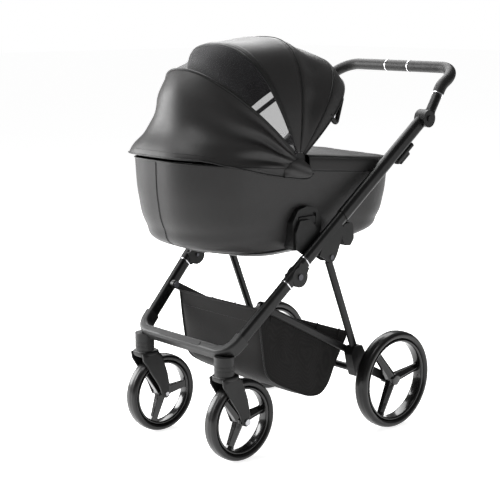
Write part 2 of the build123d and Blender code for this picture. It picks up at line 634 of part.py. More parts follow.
with BuildPart() as stand_feet:
    for _, s in SIDES:
        plate(s, 165, 202, [(36, 640), (30, 596), (40, 574), (66, 572), (80, 592), (74, 640)], 9)
    add(cot_outer.part, mode=Mode.SUBTRACT)
save(stand_feet, "stand_feet")

# --- hood --------------------------------------------------------------------------------------
HUB_R = 24.0                              # the hood's sheets end on this radius round the pivot
HOOD_HALF = 197.0                         # outer half width of the moving canopy
MESH_HALF = 201.5


def fan_plane(angle):
    """The plane through the hood's pivot axis, at an angle above the line that runs rearwards."""
    t = radians(angle)
    return Plane(origin=(0, HOOD_Y, HOOD_Z), x_dir=(1, 0, 0), z_dir=(0, -sin(t), cos(t)))


def arch_points(half, reach, power, count=15):
    """Points of an arch across the hood, from the right side to the left."""
    for k in range(count):
        t = radians(180 * (1 - k / (count - 1)))
        x = abs(cos(t)) ** (2 / power)
        rise = sin(t) ** (2 / power) if 0 < k < count - 1 else 0
        yield (half * (x if cos(t) > 0 else -x), HUB_R + (reach - HUB_R) * rise)


def fan_sheet(sections, thick):
    """A curved sheet through arches, each given as (angle, half width, reach, power)."""
    faces = []
    for angle, half, reach, power in sections:
        with BuildSketch(fan_plane(angle)) as face:
            with BuildLine():
                outer = Spline(*arch_points(half, reach, power))
                inner = Spline(*arch_points(half - thick, reach - thick, power))
                Line(outer @ 0, inner @ 0)
                Line(outer @ 1, inner @ 1)
            make_face()
        faces.append(face.sketch)
    loft(faces)


CANOPY = [(42.0, 196, 340, 2.5), (58.0, 196.5, 345, 2.55), (76.0, HOOD_HALF, 356, 2.6),
          (94.0, HOOD_HALF, 361, 2.55), (111.5, HOOD_HALF, 360, 2.5)]
WINDOW = [(112.5, MESH_HALF, 370, 2.5), (124.0, MESH_HALF + 0.3, 384, 2.5),
          (135.5, MESH_HALF + 0.5, 396, 2.5)]
HEAD_REACH = 371.4
HEAD = [(136.0, 203, 397, 2.5), (150.0, 204, 390.5, 2.8), (164.0, 205, 379, 3.3),
        (178.0, 206, HEAD_REACH, 3.8), (192.0, 206, HEAD_REACH, 3.9)]


def bow(angle, half, reach, power, thick=3.0):
    """A flat spring hoop, 12 mm wide, just inside a sheet."""
    step = degrees(6 / reach)
    fan_sheet([(angle - step, half, reach, power), (angle + step, half, reach, power)], thick)


with BuildPart() as canopy:
    fan_sheet(CANOPY, CLOTH)
save(canopy, "canopy")
with BuildPart() as canopy_bows:
    bow(44.5, 192.5, 336, 2.5)
    bow(109.5, 193.5, 356, 2.5)
save(canopy_bows, "canopy_bows")
with BuildPart() as mesh_window:
    fan_sheet(WINDOW, 1.5)
save(mesh_window, "mesh_window")
with BuildPart() as head_bow:
    bow(138.0, 199.6, 393, 2.5, 1.8)
save(head_bow, "head_bow")

with BuildPart() as head_panel:
    fan_sheet(HEAD, CLOTH)
    split(bisect_by=cot_plane(815).offset(0.2), keep=Keep.TOP)
save(head_panel, "head_panel")

COVER_IN, COVER_OUT = 206.6, 212.0
with BuildPart() as hood_hubs:
    for _, s in SIDES:
        disc(s, 189, 196.5, HOOD_Y, HOOD_Z, HUB_R - 0.3)
        disc(s, 180, 215, HOOD_Y, HOOD_Z, 5 + FIT, mode=Mode.SUBTRACT)
save(hood_hubs, "hood_hubs")
with BuildPart() as hood_pivots:
    for _, s in SIDES:
        disc(s, 188, COVER_IN + 0.5, HOOD_Y, HOOD_Z, 5)
        disc(s, COVER_IN, COVER_OUT, HOOD_Y, HOOD_Z, 26)
        web(s, COVER_IN, COVER_OUT, (HOOD_Y, HOOD_Z), (-122, 812), 20)
save(hood_pivots, "hood_pivots")

# a leather grip on a loop stands off each side of the canopy's mouth
GRIP_OFF = 40.0
mouth = radians(CANOPY[0][0])


def mouth_point(s, reach, off):
    """A point off the canopy's mouth by off, at a reach from the pivot."""
    angle, half, top, power = CANOPY[0]
    share = ((reach - HUB_R) / (top - HUB_R)) ** power
    y, z = HOOD_Y + reach * cos(mouth), HOOD_Z + reach * sin(mouth)
    return (s * half * (1 - share) ** (1 / power), y + off * sin(mouth), z - off * cos(mouth))


with BuildPart() as side_grips:
    for _, s in SIDES:
        with BuildLine() as loop_path:
            FilletPolyline(
                mouth_point(s, 292, 1.5), mouth_point(s, 292, GRIP_OFF),
                mouth_point(s, 182, GRIP_OFF), mouth_point(s, 182, 1.5), radius=16)
        with BuildSketch(Plane(origin=loop_path.line @ 0, z_dir=loop_path.line % 0)):
            Circle(7)
        sweep(path=loop_path.line)
save(side_grips, "side_grips")
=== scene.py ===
import json
import math

import bpy
import numpy as np
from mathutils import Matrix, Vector, noise


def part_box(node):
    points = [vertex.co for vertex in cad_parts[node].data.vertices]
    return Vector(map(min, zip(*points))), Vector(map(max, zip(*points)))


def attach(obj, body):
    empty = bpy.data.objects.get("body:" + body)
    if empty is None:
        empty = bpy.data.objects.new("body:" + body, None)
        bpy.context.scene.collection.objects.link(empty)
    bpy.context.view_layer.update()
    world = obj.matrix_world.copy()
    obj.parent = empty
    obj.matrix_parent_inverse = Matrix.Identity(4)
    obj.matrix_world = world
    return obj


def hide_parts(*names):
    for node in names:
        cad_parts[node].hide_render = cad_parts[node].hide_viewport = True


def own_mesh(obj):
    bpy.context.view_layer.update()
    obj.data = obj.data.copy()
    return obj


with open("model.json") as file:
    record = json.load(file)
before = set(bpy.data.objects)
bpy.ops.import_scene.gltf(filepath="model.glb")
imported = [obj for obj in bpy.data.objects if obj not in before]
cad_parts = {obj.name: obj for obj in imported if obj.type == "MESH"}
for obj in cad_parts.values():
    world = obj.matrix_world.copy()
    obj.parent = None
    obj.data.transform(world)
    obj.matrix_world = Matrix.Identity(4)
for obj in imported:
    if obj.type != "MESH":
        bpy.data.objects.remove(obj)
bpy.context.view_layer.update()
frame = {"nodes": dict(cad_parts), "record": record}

scene = bpy.context.scene
SIDES = (("left", 1), ("right", -1))

# --- dimensions, in metres, in the model's own frame ---------------------------------------------
COT_MID = -0.0945                         # middle of the carrycot along the stroller
RIM_HEAD, RIM_FOOT, COT_HEAD, COT_FOOT = 0.854, 0.776, -0.509, 0.320
RIM_SLOPE = (RIM_HEAD - RIM_FOOT) / (COT_FOOT - COT_HEAD)
HOOD_Y, HOOD_Z, HUB_R = -0.145, 0.842, 0.024
REAR = dict(x=0.273, y=0.185, r=0.150, width=0.045, section=0.024, hub=0.017)
FRONT = dict(x=0.181, y=-0.361, r=0.119, width=0.042, section=0.021, hub=0.015)
SPOKE_TURN = math.radians(7)
LEATHER_T = 0.0022                        # thickness of the covers


# --- materials -----------------------------------------------------------------------------------
def link(tree, source, target):
    tree.links.new(source, target)


def new_material(name, color, rough, metallic=0.0, sheen=0.0, coat=0.0, coat_rough=0.1, spec=0.3):
    """A Principled material, and the object coordinates that its textures read."""
    mat = bpy.data.materials.new(name)
    mat.use_nodes = True
    tree = mat.node_tree
    shader = tree.nodes["Principled BSDF"]
    shader.inputs["Base Color"].default_value = (*color, 1)
    shader.inputs["Roughness"].default_value = rough
    shader.inputs["Metallic"].default_value = metallic
    shader.inputs["Specular IOR Level"].default_value = spec
    shader.inputs["Sheen Weight"].default_value = sheen
    shader.inputs["Coat Weight"].default_value = coat
    shader.inputs["Coat Roughness"].default_value = coat_rough
    coords = tree.nodes.new("ShaderNodeTexCoord")
    return mat, tree, shader, coords.outputs["Object"]


def noise_node(tree, where, scale, detail=3.0, rough=0.55):
    node = tree.nodes.new("ShaderNodeTexNoise")
    node.inputs["Scale"].default_value = scale
    node.inputs["Detail"].default_value = detail
    node.inputs["Roughness"].default_value = rough
    link(tree, where, node.inputs["Vector"])
    return node.outputs["Fac"]


def grain_node(tree, where, scale):
    node = tree.nodes.new("ShaderNodeTexVoronoi")
    node.feature = "SMOOTH_F1"
    node.inputs["Scale"].default_value = scale
    link(tree, where, node.inputs["Vector"])
    return node.outputs["Distance"]


def weave_node(tree, where, scale):
    """Two crossed sets of threads, multiplied into a weave."""
    threads = []
    for direction in ("X", "Z"):
        wave = tree.nodes.new("ShaderNodeTexWave")
        wave.bands_direction = direction
        wave.inputs["Scale"].default_value = scale
        wave.inputs["Distortion"].default_value = 0.4
        link(tree, where, wave.inputs["Vector"])
        threads.append(wave.outputs["Fac"])
    node = tree.nodes.new("ShaderNodeMath")
    node.operation = "MULTIPLY"
    link(tree, threads[0], node.inputs[0])
    link(tree, threads[1], node.inputs[1])
    return node.outputs["Value"]


def add_bump(tree, height, strength, distance, below=None):
    node = tree.nodes.new("ShaderNodeBump")
    node.inputs["Strength"].default_value = strength
    node.inputs["Distance"].default_value = distance
    link(tree, height, node.inputs["Height"])
    if below:
        link(tree, below, node.inputs["Normal"])
    return node.outputs["Normal"]


def vary_color(tree, shader, factor, dark, light):
    node = tree.nodes.new("ShaderNodeMix")
    node.data_type = "RGBA"
    node.inputs["A"].default_value = (*dark, 1)
    node.inputs["B"].default_value = (*light, 1)
    link(tree, factor, node.inputs["Factor"])
    link(tree, node.outputs["Result"], shader.inputs["Base Color"])


def vary_rough(tree, shader, factor, low, high):
    node = tree.nodes.new("ShaderNodeMapRange")
    node.inputs["To Min"].default_value = low
    node.inputs["To Max"].default_value = high
    link(tree, factor, node.inputs["Value"])
    link(tree, node.outputs["Result"], shader.inputs["Roughness"])


def leather(name, dark, light, rough, grain=900.0):
    mat, tree, shader, where = new_material(name, light, rough)
    vary_color(tree, shader, noise_node(tree, where, 7.0), dark, light)
    vary_rough(tree, shader, noise_node(tree, where, 130.0), rough - 0.06, rough + 0.08)
    soft = add_bump(tree, noise_node(tree, where, 55.0, 4.0), 0.25, 0.0012)
    fine = add_bump(tree, grain_node(tree, where, grain), 0.30, 0.00035, soft)
    link(tree, fine, shader.inputs["Normal"])
    return mat


def powder_coat(name, dark, light, rough, metallic, grain=1600.0):
    mat, tree, shader, where = new_material(name, light, rough, metallic)
    vary_color(tree, shader, noise_node(tree, where, 25.0), dark, light)
    vary_rough(tree, shader, noise_node(tree, where, 90.0), rough - 0.05, rough + 0.07)
    link(tree, add_bump(tree, noise_node(tree, where, grain, 2.0), 0.18, 0.0002), shader.inputs["Normal"])
    return mat


def woven(name, dark, light, rough, scale=260.0, sheen=0.3):
    mat, tree, shader, where = new_material(name, light, rough, sheen=sheen)
    threads = weave_node(tree, where, scale)
    vary_color(tree, shader, threads, dark, light)
    fuzz = add_bump(tree, noise_node(tree, where, 70.0, 4.0), 0.3, 0.0012)
    link(tree, add_bump(tree, threads, 0.2, 0.0003, fuzz), shader.inputs["Normal"])
    return mat


def gloss(name, dark, light, rough, coat):
    mat, tree, shader, where = new_material(name, light, rough, coat=coat, coat_rough=0.06)
    vary_color(tree, shader, noise_node(tree, where, 18.0), dark, light)
    vary_rough(tree, shader, noise_node(tree, where, 60.0, 5.0), rough - 0.04, rough + 0.08)
    link(tree, add_bump(tree, noise_node(tree, where, 35.0, 2.0), 0.06, 0.0006), shader.inputs["Normal"])
    return mat


def brushed(name, color, rough):
    mat, tree, shader, where = new_material(name, color, rough, metallic=1.0)
    vary_rough(tree, shader, noise_node(tree, where, 420.0, 2.0), rough - 0.06, rough + 0.10)
    vary_color(tree, shader, noise_node(tree, where, 40.0), [c * 0.86 for c in color], color)
    return mat


def net(name, color):
    """A fine see-through mesh cloth: its threads are solid and the rest is mostly air."""
    mat, tree, shader, where = new_material(name, color, 0.7, sheen=0.2)
    threads = weave_node(tree, where, 330.0)
    vary_color(tree, shader, threads, [c * 0.6 for c in color], color)
    holes = tree.nodes.new("ShaderNodeMapRange")
    holes.inputs["From Min"].default_value = 0.0
    holes.inputs["From Max"].default_value = 0.5
    holes.inputs["To Min"].default_value = 0.40
    holes.inputs["To Max"].default_value = 0.75
    link(tree, threads, holes.inputs["Value"])
    link(tree, holes.outputs["Result"], shader.inputs["Alpha"])
    link(tree, add_bump(tree, threads, 0.4, 0.0005), shader.inputs["Normal"])
    return mat


COVER = leather("cover_leather", (0.017, 0.0165, 0.0165), (0.025, 0.024, 0.024), 0.46)
GRIP = leather("grip_leather", (0.008, 0.008, 0.008), (0.014, 0.0135, 0.0135), 0.46, 1100.0)
PIPING = leather("piping_leather", (0.004, 0.004, 0.004), (0.008, 0.008, 0.008), 0.42, 1300.0)
FRAME = powder_coat("frame_powder_coat", (0.0035, 0.0035, 0.0035), (0.006, 0.006, 0.006), 0.36, 0.0)
MOULDING = powder_coat("moulded_nylon", (0.005, 0.005, 0.005), (0.009, 0.009, 0.009), 0.42, 0.0, 1100.0)
CASTING = powder_coat("front_casting", (0.014, 0.014, 0.014), (0.022, 0.022, 0.022), 0.40, 0.1, 1300.0)
TYRE = gloss("tyre_rubber", (0.003, 0.003, 0.003), (0.006, 0.0055, 0.0055), 0.34, 0.2)
RIM = gloss("wheel_plastic", (0.002, 0.002, 0.002), (0.004, 0.004, 0.004), 0.20, 0.5)
SILVER = brushed("silver_trim", (0.82, 0.82, 0.84), 0.22)
STEEL = brushed("fastener_steel", (0.52, 0.52, 0.54), 0.30)
BLUED = brushed("blued_steel", (0.10, 0.10, 0.11), 0.36)
BASKET = woven("basket_cloth", (0.004, 0.0036, 0.0035), (0.011, 0.010, 0.0095), 0.9, 540.0, 0.06)
LINING = woven("lining_cloth", (0.004, 0.004, 0.004), (0.010, 0.010, 0.010), 0.9, 210.0, 0.1)
NET = net("window_net", (0.016, 0.015, 0.018))
THREAD = woven("sewing_thread", (0.012, 0.012, 0.012), (0.030, 0.030, 0.030), 0.7, 500.0)


# --- making pieces -------------------------------------------------------------------------------
def place(obj, body, slot, *nodes):
    """Puts a finished piece on its body, in place of some CAD nodes; the slot argument is not used."""
    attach(obj, body)
    if nodes:
        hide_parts(*nodes)
    return obj


def mesh_object(name, verts, faces, materials, smooth=True):
    mesh = bpy.data.meshes.new(name)
    mesh.from_pydata([tuple(v) for v in verts], [], faces)
    mesh.validate()
    mesh.update()
    mesh.polygons.foreach_set("use_smooth", [smooth] * len(mesh.polygons))
    obj = bpy.data.objects.new(name, mesh)
    scene.collection.objects.link(obj)
    for mat in materials:
        mesh.materials.append(mat)
    return obj


def grid_faces(rows, cols, wrap_rows=False, wrap_cols=False):
    faces = []
    for i in range(rows if wrap_rows else rows - 1):
        for j in range(cols if wrap_cols else cols - 1):
            a, b = i, (i + 1) % rows
            c, d = j, (j + 1) % cols
            faces.append((a * cols + c, a * cols + d, b * cols + d, b * cols + c))
    return faces


def grid_object(name, grid, materials, wrap_rows=False, wrap_cols=False):
    """A surface through a grid of points, with shape (rows, columns, 3)."""
    grid = np.asarray(grid, float)
    rows, cols = grid.shape[:2]
    return mesh_object(name, grid.reshape(-1, 3), grid_faces(rows, cols, wrap_rows, wrap_cols), materials)


def thicken(obj, amount, outward=False):
    """Gives a sheet its thickness, with its second material on the other face."""
    mod = obj.modifiers.new("thickness", "SOLIDIFY")
    mod.thickness = amount
    mod.offset = 1.0 if outward else -1.0
    mod.use_even_offset = True
    mod.material_offset = 1 if len(obj.data.materials) > 1 else 0
    return obj


def subdivide(obj, level=1):
    mod = obj.modifiers.new("smooth", "SUBSURF")
    mod.levels = mod.render_levels = level
    return obj


def as_mesh(obj):
    """A curve made into the mesh of its tube."""
    graph = bpy.context.evaluated_depsgraph_get()
    mesh = bpy.data.meshes.new_from_object(obj.evaluated_get(graph))
    solid = bpy.data.objects.new(obj.name, mesh)
    scene.collection.objects.link(solid)
    name = obj.name
    bpy.data.objects.remove(obj)
    solid.name = name
    return solid


def apply_modifiers(obj):
    graph = bpy.context.evaluated_depsgraph_get()
    mesh = bpy.data.meshes.new_from_object(obj.evaluated_get(graph))
    obj.modifiers.clear()
    obj.data = mesh


def bead(name, points, radius, mat, closed=False):
    """A round cord or piping along a smooth line."""
    curve = bpy.data.curves.new(name, "CURVE")
    curve.dimensions = "3D"
    curve.bevel_depth = radius
    curve.bevel_resolution = 3
    curve.resolution_u = 4
    curve.use_fill_caps = True
    line = curve.splines.new("NURBS")
    line.points.add(len(points) - 1)
    for point, where in zip(line.points, points):
        point.co = (*where, 1)
    line.order_u = 3
    line.use_endpoint_u = not closed
    line.use_cyclic_u = closed
    curve.materials.append(mat)
    obj = bpy.data.objects.new(name, curve)
    scene.collection.objects.link(obj)
    return as_mesh(obj)


def stitches(name, points, mat, pitch=0.0045, length=0.003, radius=0.0004):
    """A row of sewn stitches: short threads end to end along a line of points."""
    points = np.asarray(points, float)
    steps = np.linalg.norm(np.diff(points, axis=0), axis=1)
    along = np.concatenate([[0], np.cumsum(steps)])
    curve = bpy.data.curves.new(name, "CURVE")
    curve.dimensions = "3D"
    curve.bevel_depth = radius
    curve.bevel_resolution = 1
    for start in np.arange(0.001, along[-1] - length, pitch):
        spline = curve.splines.new("POLY")
        spline.points.add(1)
        for k, s in enumerate((start, start + length)):
            spline.points[k].co = (*[np.interp(s, along, points[:, axis]) for axis in range(3)], 1)
    curve.materials.append(mat)
    obj = bpy.data.objects.new(name, curve)
    scene.collection.objects.link(obj)
    return as_mesh(obj)


def smooth_interp(x, xs, ys):
    """A smooth curve through (xs, ys), read at x."""
    xs, ys = np.asarray(xs, float), np.asarray(ys, float)
    slopes = np.gradient(ys, xs)
    k = int(np.clip(np.searchsorted(xs, x) - 1, 0, len(xs) - 2))
    h = xs[k + 1] - xs[k]
    t = np.clip((x - xs[k]) / h, 0, 1)
    return ((2 * t**3 - 3 * t**2 + 1) * ys[k] + (t**3 - 2 * t**2 + t) * h * slopes[k]
            + (3 * t**2 - 2 * t**3) * ys[k + 1] + (t**3 - t**2) * h * slopes[k + 1])


def wobble(point, scale, seed=0.0):
    """Smooth noise from -1 to 1 at a point."""
    return noise.noise(Vector(point) * scale + Vector((seed, -seed, 2 * seed)))


def grid_normals(grid):
    du = np.gradient(grid, axis=0)
    dv = np.gradient(grid, axis=1)
    n = np.cross(du, dv)
    return n / np.maximum(np.linalg.norm(n, axis=2, keepdims=True), 1e-12)


# --- padding by cloth simulation -----------------------------------------------------------------
def puff(obj, voxel, pressure, cap, frames=18):
    """Swells a closed pad under air pressure, and holds each point within cap of where it began."""
    mod = obj.modifiers.new("remesh", "REMESH")
    mod.mode = "VOXEL"
    mod.voxel_size = voxel
    mod.use_smooth_shade = True
    apply_modifiers(obj)
    start = np.array([v.co[:] for v in obj.data.vertices])
    cloth = obj.modifiers.new("cloth", "CLOTH")
    cloth.settings.use_pressure = True
    cloth.settings.uniform_pressure_force = pressure
    cloth.settings.effector_weights.gravity = 0
    cloth.settings.tension_stiffness = 12
    cloth.settings.compression_stiffness = 12
    cloth.settings.bending_stiffness = 0.8
    cloth.point_cache.frame_end = frames
    for step in range(1, frames + 1):
        scene.frame_set(step)
    apply_modifiers(obj)
    scene.frame_set(1)
    moved = np.array([v.co[:] for v in obj.data.vertices]) - start
    size = np.linalg.norm(moved, axis=1, keepdims=True)
    held = start + moved * np.minimum(1, cap / np.maximum(size, 1e-9))
    obj.data.vertices.foreach_set("co", held.ravel())
    obj.data.polygons.foreach_set("use_smooth", [True] * len(obj.data.polygons))
    obj.data.update()
    return obj


# --- carrycot shell ------------------------------------------------------------------------------
RIM_OUTLINE = (0.205, 0.4145, 0.166)      # half width, half length and corner radius at the rim
# height, half width, half length, corner radius and share of the rim's slope, from the bottom up
COT_SECTIONS = np.array([
    (0.557, 0.100, 0.150, 0.090, -0.08), (0.572, 0.143, 0.208, 0.128, -0.08),
    (0.600, 0.170, 0.3384, 0.146, 0.11), (0.650, 0.184, 0.3867, 0.152, 0.3),
    (0.720, 0.193, 0.4084, 0.158, 0.6), (0.815, *RIM_OUTLINE, 1.0)])
CORNER_STEPS, SIDE_STEPS, END_STEPS = 16, 22, 4


def rounded_outline(half_x, half_y, corner):
    """Points round a rounded rectangle, from the middle of the front end towards the left side."""
    points = []
    for turn, (sx, sy) in enumerate(((1, -1), (1, 1), (-1, 1), (-1, -1))):
        cx, cy = sx * (half_x - corner), sy * (half_y - corner)
        start = math.radians(-90 + 90 * turn)
        along_side = turn % 2 == 0
        arc = [(cx + corner * math.cos(start + a), cy + corner * math.sin(start + a))
               for a in np.linspace(0, math.pi / 2, CORNER_STEPS + 1)]
        nxt = {0: (half_x, half_y - corner), 1: (-(half_x - corner), half_y),
               2: (-half_x, -(half_y - corner)), 3: (half_x - corner, -half_y)}[turn]
        steps = SIDE_STEPS if along_side else 2 * END_STEPS
        last = np.array(arc[-1])
        run = [tuple(last * (1 - k / steps) + np.array(nxt) * k / steps) for k in range(1, steps)]
        points += arc + run
    return np.roll(np.array(points), END_STEPS, axis=0)


def rim_height(y):
    return RIM_HEAD - RIM_SLOPE * (y - COT_HEAD)


def cot_ring(z, inset=0.0):
    """The shell's outline at height z of its middle, on a plane that follows the rim's slope."""
    half_x, half_y, corner, share = [
        smooth_interp(z, COT_SECTIONS[:, 0], COT_SECTIONS[:, k]) for k in (1, 2, 3, 4)]
    flat = rounded_outline(half_x - inset, half_y - inset, corner - inset)
    y = flat[:, 1] + COT_MID
    return np.column_stack([flat[:, 0], y, z - RIM_SLOPE * share * flat[:, 1]])


BASE_TOP = 0.579                          # where the cover meets the pan


def make_shell():
    """The sewn cover of the tub, the pan under it, and their seams and piping."""
    heights = np.concatenate([np.linspace(0.583, 0.65, 9), np.linspace(0.66, 0.812, 16), [0.8146]])
    rings = np.array([cot_ring(z) for z in heights])
    for ring in rings[:2]:
        ring[:, 2] = np.maximum(ring[:, 2], BASE_TOP + 0.0005)
    shell = grid_object("cot_cover", rings, [COVER, LINING], wrap_cols=True)
    thicken(shell, 0.0035)
    subdivide(shell)
    place(shell, "carrycot", "hood_leather", "carrycot_shell")
    # base pan: the glossy lower shell, with a lip under the cover
    heights = [0.5572, 0.5585, 0.561, 0.566, 0.572, 0.5768]
    rings = [cot_ring(z) for z in heights] + [cot_ring(0.5785, -0.0012)]
    centre = np.array([0, COT_MID, 0.5568])
    inner = [centre + (rings[0] - centre) * f for f in (0.02, 0.35, 0.7, 0.9)]
    for ring, f in zip(inner, (0.02, 0.35, 0.7, 0.9)):
        ring[:, 2] = rings[0][:, 2] * f + 0.5560 * (1 - f)
    pan = grid_object("cot_base_pan", inner + rings, [MOULDING], wrap_cols=True)
    thicken(pan, 0.003)
    subdivide(pan)
    place(pan, "carrycot", "moulding", "carrycot_base")
    # the vertical seams at the middle of each end, and the piping round the rim
    columns = len(rings[0])
    for name, column in (("front", 0), ("rear", columns // 2)):
        line = np.array([cot_ring(z)[column] for z in np.linspace(0.590, 0.812, 24)])
        out = -1 if name == "front" else 1
        for k, x in enumerate((-0.0022, 0.0022)):
            row = line + np.array([x, out * 0.0006, 0])
            place(stitches(f"cot_{name}_stitches_{k + 1}", row, THREAD), "carrycot", "hood_leather")
        seam = line + np.array([0, out * 0.0002, 0])
        place(bead(f"cot_{name}_seam", seam, 0.0011, PIPING), "carrycot", "hood_leather")
    hem = [tuple(p) for p in cot_ring(0.8146, -0.0008)[::3]]
    place(bead("cot_rim_piping", hem, 0.0028, PIPING, closed=True), "carrycot", "hood_leather")
    hem = [tuple(p) for p in cot_ring(0.5815, -0.0004)[::3]]
    place(bead("cot_lower_piping", hem, 0.0016, PIPING, closed=True), "carrycot", "hood_leather")


def make_mattress():
    """A pad swollen by air pressure, then quilted on top."""
    low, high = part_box("mattress")
    rings = []
    levels = ((low[2] + 0.001, 0.012), (low[2] + 0.008, 0.004),
              (high[2] - 0.010, 0.004), (high[2] - 0.003, 0.014))
    for z, inset in levels:
        flat = rounded_outline(0.142 - inset, 0.305 - inset, 0.110 - inset)
        rings.append(np.column_stack([flat[:, 0], flat[:, 1] + COT_MID, np.full(len(flat), z)]))
    verts = np.concatenate(rings)
    cols = len(rings[0])
    faces = grid_faces(len(rings), cols, wrap_cols=True)
    faces += [tuple(range(cols))[::-1], tuple(range(3 * cols, 4 * cols))]
    pad = puff(mesh_object("mattress_pad", verts, faces, [LINING]), 0.006, 3.5, 0.007)
    for vert in pad.data.vertices:
        quilt = math.sin(vert.co.x * 75) * math.sin(vert.co.y * 75)
        if vert.co.z > (low[2] + high[2]) / 2:
            vert.co.z += 0.0016 * quilt - 0.001
    subdivide(pad)
    place(pad, "carrycot", "lining", "mattress")


# --- boot cover ----------------------------------------------------------------------------------
APRON_Y, APRON_HEM = -0.118, 0.006


def apron_outline(spread):
    flat = rounded_outline(*[size + spread for size in RIM_OUTLINE])
    flat[:, 1] += COT_MID
    return flat


def make_apron():
    """A padded lid over the foot half: side band, rolled edge and a soft top with pulled folds."""
    start = CORNER_STEPS + END_STEPS
    left = apron_outline(0.0)
    columns = [k for k in range(len(left) // 2 + 1) if left[k][1] >= APRON_Y and k > start]
    mirror = [len(left) - k for k in columns[::-1] if k != len(left) // 2]
    order = columns + mirror
    profile = [(0.0035, -APRON_HEM), (0.0038, -0.001), (0.0036, 0.010), (0.0034, 0.022), (0.002, 0.0325),
               (-0.003, 0.0385), (-0.012, 0.0412)]
    rows = []
    for spread, up in profile:
        flat = apron_outline(spread)[order]
        rows.append(np.column_stack([flat, rim_height(flat[:, 1]) + up]))
    edge = rows[-1]
    for f in np.linspace(0.90, 0.0, 16):
        ring = edge.copy()
        ring[:, 0] *= f
        ring[:, 1] = APRON_Y + (edge[:, 1] - APRON_Y) * f
        crown = 0.010 * (1 - f**2.4)
        ring[:, 2] = rim_height(ring[:, 1]) + 0.0412 + crown
        rows.append(ring)
    grid = np.array(rows)
    normals = grid_normals(grid)
    for i in range(len(profile) - 2, grid.shape[0]):
        for j in range(grid.shape[1]):
            p = grid[i, j]
            fade = min(1.0, (i - len(profile) + 3) / 4)
            pull = wobble((p[0] * 5, p[1] * 16, 0), 1.0, 3.1) * 0.0045 + wobble(p, 22, 5.0) * 0.0018
            grid[i, j, 2] += pull * fade
    cover = grid_object("boot_cover", grid, [COVER, LINING])
    thicken(cover, LEATHER_T)
    subdivide(cover)
    place(cover, "carrycot", "hood_leather", "apron")
    for name, row in (("upper", 4), ("hem", 0)):
        line = [tuple(p + n * 0.0004) for p, n in zip(grid[row], normals[row])]
        place(bead(f"boot_cover_{name}_piping", line, 0.0016, PIPING), "carrycot", "hood_leather")


# --- hood ----------------------------------------------------------------------------------------
# Each arch is: fan angle from the rearward line, half width, reach at the top, squareness.
MOUTH, BOW_SEAM, TOP_SEAM, FRONT_EDGE, HEAD_RIB = 38.0, 51.2, 82.9, 114.4, 136.3
CANOPY = np.array([(MOUTH, 0.1965, 0.368, 2.6), (BOW_SEAM, 0.1968, 0.360, 2.85), (67, 0.197, 0.3475, 2.45),
                   (TOP_SEAM, 0.197, 0.3475, 2.75), (98.9, 0.197, 0.3425, 2.9),
                   (FRONT_EDGE, 0.197, 0.356, 2.7)])
WINDOW = np.array([(115.2, 0.2005, 0.358, 2.6), (125.6, 0.2012, 0.355, 2.15), (135.8, 0.202, 0.3735, 2.11)])
HEAD = np.array([(HEAD_RIB, 0.203, 0.3756, 2.11), (146, 0.204, 0.369, 2.1), (156, 0.205, 0.358, 2.2),
                 (166, 0.206, 0.3595, 2.7), (174, 0.207, 0.370, 3.2), (182, 0.207, 0.376, 3.3),
                 (260, 0.208, 0.372, 3.6)])


def arch_point(table, angle, t):
    """The point a share t of the way across the hood, from left to right, at a fan angle in degrees."""
    half, reach, power = [smooth_interp(angle, table[:, 0], table[:, k]) for k in (1, 2, 3)]
    a = math.pi * t
    cos, sin = math.cos(a), max(0.0, math.sin(a))
    x = half * math.copysign(abs(cos) ** (2 / power), cos)
    r = HUB_R + (reach - HUB_R) * sin ** (2 / power)
    fan = math.radians(angle)
    return np.array([x, HOOD_Y + r * math.cos(fan), HOOD_Z + r * math.sin(fan)])


def across(count):
    """Shares across the hood, closer together at the sides, where the arch turns fastest."""
    u = np.linspace(0, 1, count)
    return u - 0.045 * np.sin(4 * np.pi * u) / np.pi * 2


def arch_line(table, angle, out=0.0, count=41):
    """One arch as a list of points, moved outwards a little."""
    points = np.array([arch_point(table, angle, t) for t in across(count)])
    centre = np.array([0, HOOD_Y, HOOD_Z])
    away = points - centre
    away /= np.maximum(np.linalg.norm(away, axis=1, keepdims=True), 1e-9)
    return [tuple(p) for p in points + away * out]


def tuck(piece):
    """Gives the piece its own copy of its mesh."""
    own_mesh(piece)


